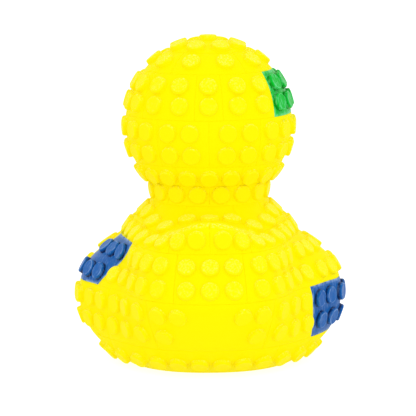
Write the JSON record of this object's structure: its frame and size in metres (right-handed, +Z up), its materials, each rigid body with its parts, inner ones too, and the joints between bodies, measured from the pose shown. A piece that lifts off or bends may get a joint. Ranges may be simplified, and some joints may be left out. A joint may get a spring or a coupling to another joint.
{
  "type": "rubber duck",
  "caption": "Moulded vinyl rubber duck with a round head, upturned tail, folded wings and a flat base, covered in round studs laid in brick courses.",
  "frame": {"origin": "middle of the flat base", "axes": "+Z up, the tail towards +Y and the bill towards -Y, -Z out of the flat base"},
  "size_m": [0.0752, 0.0836, 0.09],
  "materials": {
    "yellow_vinyl": "soft moulded vinyl with a satin skin"
  },
  "bodies": {
    "root": {"duck": "yellow_vinyl"}
  },
  "joints": []
}
